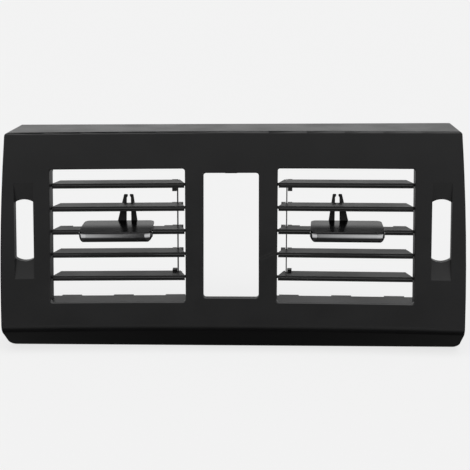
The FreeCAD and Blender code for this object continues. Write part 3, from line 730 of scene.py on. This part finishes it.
floor_paint = bpy.data.materials.new("floor_paint")
floor_paint.use_nodes = True
floor_tree = floor_paint.node_tree
floor_tree.nodes.clear()
lit = new_node(floor_tree, "ShaderNodeBsdfDiffuse", None, {"Color": paint_colour})
fixed = new_node(floor_tree, "ShaderNodeEmission", None, {"Color": fixed_tone, "Strength": 1.0})
both = new_node(floor_tree, "ShaderNodeMixShader", None,
                {0: lit_share, 1: fixed.outputs[0], 2: lit.outputs[0]})
new_node(floor_tree, "ShaderNodeOutputMaterial", None, {"Surface": both.outputs[0]})
floor_mesh.materials.append(floor_paint)
floor.visible_glossy = False
floor.visible_diffuse = False
print("floor at", round(floor_z * 1000, 2), "mm")

# %% [markdown]
# ## Room painted by direction
# Black plastic shows what it mirrors more than its own colour. The flange and the slats' tops are seen at a low
# angle and mirror the pale backdrop, so they look grey. The face looks straight at the dim side of the
# room where the camera stands, so it stays black. A studio could be built from walls and lamps. Painting the
# world by direction does the same with a few numbers: how far a direction points sideways, back and up.

# %% Room painted by direction
world = bpy.data.worlds.new("room")
bpy.context.scene.world = world
world.use_nodes = True
room = world.node_tree
room.nodes.clear()
direction = new_node(room, "ShaderNodeTexCoord").outputs["Generated"]
split = new_node(room, "ShaderNodeSeparateXYZ", None, {0: direction})
sideways, backward, upward = split.outputs[0], split.outputs[1], split.outputs[2]
print("directions split in", len(split.outputs), "parts")

# %% [markdown]
# ## Behind the panel
# A bright backdrop ends about 20 degrees above the floor, and the ceiling over it is dark. The backdrop is a
# little dimmer low down, and almost dark below the floor's level, where nothing should light the undersides.

# %% Behind the panel
backdrop_end = (0.325, 0.385)
backdrop_light, ceiling_light = 0.95, 0.04
dim_part = (0.10, 0.32)
dim_share = 0.80
below_floor = (-0.35, 0.0)
below_share = 0.1

backdrop = ramped(room, upward, *backdrop_end, backdrop_light, ceiling_light)
backdrop = sum_of(room, "MULTIPLY", backdrop, ramped(room, upward, *dim_part, dim_share, 1.0))
backdrop = sum_of(room, "MULTIPLY", backdrop, ramped(room, upward, *below_floor, below_share, 1.0))
print("backdrop", backdrop_light, "ceiling", ceiling_light)

# %% [markdown]
# ## Dark column on the camera's side
# The bright strips mirror the room in front of them. They are dark near the middle of the panel and brighter
# to both sides, so something dark and narrow must have stood near the camera. The bearing of a direction,
# sideways for each step toward the camera, says how far it is off that column.

# %% Dark column on the camera's side
column_bearing = -0.088
left_side_faster = 1.6
least_toward = 0.1

toward_camera = sum_of(room, "MAXIMUM", sum_of(room, "MULTIPLY", backward, -1.0), least_toward)
bearing = sum_of(room, "DIVIDE", sideways, toward_camera)
right_of_column = sum_of(room, "SUBTRACT", bearing, column_bearing)
left_of_column = sum_of(room, "MULTIPLY", right_of_column, -left_side_faster)
off_column = sum_of(room, "MAXIMUM", right_of_column, left_of_column)
print("column at", round(math.degrees(math.atan(column_bearing)), 1), "degrees")

# %% [markdown]
# ## Floor and room on the camera's side
# Beside the column the front floor is bright, except close to the panel, where the panel keeps the light off.
# The room above it is dim, a little brighter beside the column and higher up. That gives the black face its even
# tone.

# %% Floor and room on the camera's side
floor_beside = (0.01, 0.16)
floor_light, column_floor_light = 0.72, 0.02
floor_near_panel = (-0.55, -0.30)
near_panel_share = 0.05
room_beside = (0.06, 0.30)
room_light, column_light = 0.28, 0.05
room_above = (0.10, 0.38)
room_above_light = 0.36
horizon = (-0.16, -0.02)

beside = ramped(room, off_column, *floor_beside, 0.0, 1.0)
front_floor = sum_of(room, "MULTIPLY_ADD", beside, floor_light, column_floor_light)
away_from_panel = ramped(room, upward, *floor_near_panel, near_panel_share, 1.0)
front_floor = sum_of(room, "MULTIPLY", front_floor, away_from_panel)
front_room = sum_of(room, "MULTIPLY_ADD", ramped(room, off_column, *room_beside, 0.0, 1.0),
                    room_light, column_light)
front_room = sum_of(room, "MULTIPLY_ADD", ramped(room, upward, *room_above, 0.0, 1.0),
                    room_above_light, front_room)
is_floor = ramped(room, upward, *horizon, 1.0, 0.0)
front = blended(room, "FLOAT", is_floor, front_room, front_floor)
print("front floor", floor_light, "front room", room_light)

# %% [markdown]
# ## Both sides together
# The two sides blend across a soft edge. The camera itself sees none of this: for its own rays the world has the
# floor's plain tone, so that the floor's far edge doesn't show.

# %% Both sides together
side_edge = (-0.1, 0.5)
backdrop_level = 0.877

is_behind = ramped(room, backward, *side_edge, 0.0, 1.0)
level = blended(room, "FLOAT", is_behind, front, backdrop)
seen = new_node(room, "ShaderNodeLightPath").outputs["Is Camera Ray"]
shown = blended(room, "FLOAT", seen, level, backdrop_level)
background = new_node(room, "ShaderNodeBackground", None, {"Strength": 1.0, "Color": shown})
new_node(room, "ShaderNodeOutputWorld", None, {"Surface": background.outputs[0]})
print("room nodes:", len(room.nodes))

# %% [markdown]
# ## Soft sun
# One lamp above and a little in front stands for the studio's large soft box. A sun lights the whole panel
# evenly, where a near lamp would leave a hot spot, and a wide angle makes its shadow soft.

# %% Soft sun
sun_strength = 1.3
sun_width = math.radians(60.0)
from_sun = Vector((0.15, -0.20, 1.0))

sun_data = bpy.data.lights.new("soft_sun", "SUN")
sun_data.energy = sun_strength
sun_data.angle = sun_width
sun = bpy.data.objects.new("soft_sun", sun_data)
bpy.context.scene.collection.objects.link(sun)
sun.rotation_euler = from_sun.to_track_quat("Z", "Y").to_euler()
print("sun strength", sun_strength)

# %% [markdown]
# ## Colour
# The Standard view shows colours as they are written, so a pale floor comes out pale and black plastic black.

# %% Colour
bpy.context.scene.view_settings.view_transform = "Standard"
print("view:", bpy.context.scene.view_settings.view_transform)
